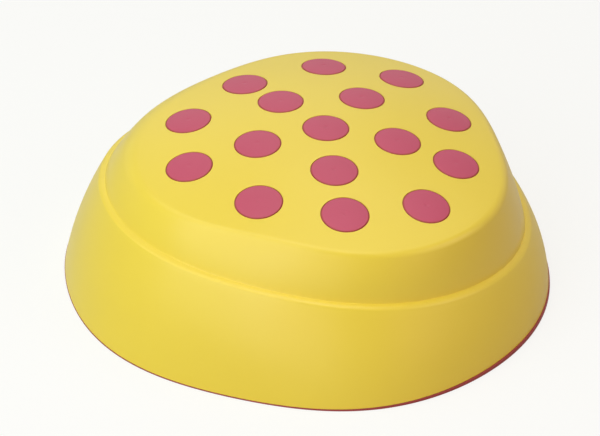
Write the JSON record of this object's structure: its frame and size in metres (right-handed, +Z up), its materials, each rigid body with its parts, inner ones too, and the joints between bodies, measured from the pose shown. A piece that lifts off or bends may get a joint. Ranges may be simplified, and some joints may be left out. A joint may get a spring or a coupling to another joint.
{
  "type": "kids balance stepping stone",
  "caption": "Hollow two-tier balance stepping stone for children, with a slanted ledge, a domed deck with soft grip dots and a soft anti-slip rim under its edge.",
  "frame": {"origin": "middle of the footprint's box, on the ground that the rim stands on", "axes": "+Z up; -Y is the front in the picture, +X its right"},
  "size_m": [0.3836, 0.3852, 0.125],
  "materials": {
    "shell_plastic": "satin moulded plastic with a fine grain",
    "rim_rubber": "satin soft rubber",
    "dot_rubber": "satin soft rubber with a fine grain"
  },
  "bodies": {
    "root": {"stone_shell": "shell_plastic", "base_rim": "rim_rubber", "grip_dot_center": "dot_rubber", "grip_dot_inner_1": "dot_rubber", "grip_dot_inner_2": "dot_rubber", "grip_dot_inner_3": "dot_rubber", "grip_dot_inner_4": "dot_rubber", "grip_dot_inner_5": "dot_rubber", "grip_dot_outer_1": "dot_rubber", "grip_dot_outer_2": "dot_rubber", "grip_dot_outer_3": "dot_rubber", "grip_dot_outer_4": "dot_rubber", "grip_dot_outer_5": "dot_rubber", "grip_dot_outer_6": "dot_rubber", "grip_dot_outer_7": "dot_rubber", "grip_dot_outer_8": "dot_rubber", "grip_dot_outer_9": "dot_rubber", "grip_dot_outer_10": "dot_rubber"}
  },
  "joints": []
}
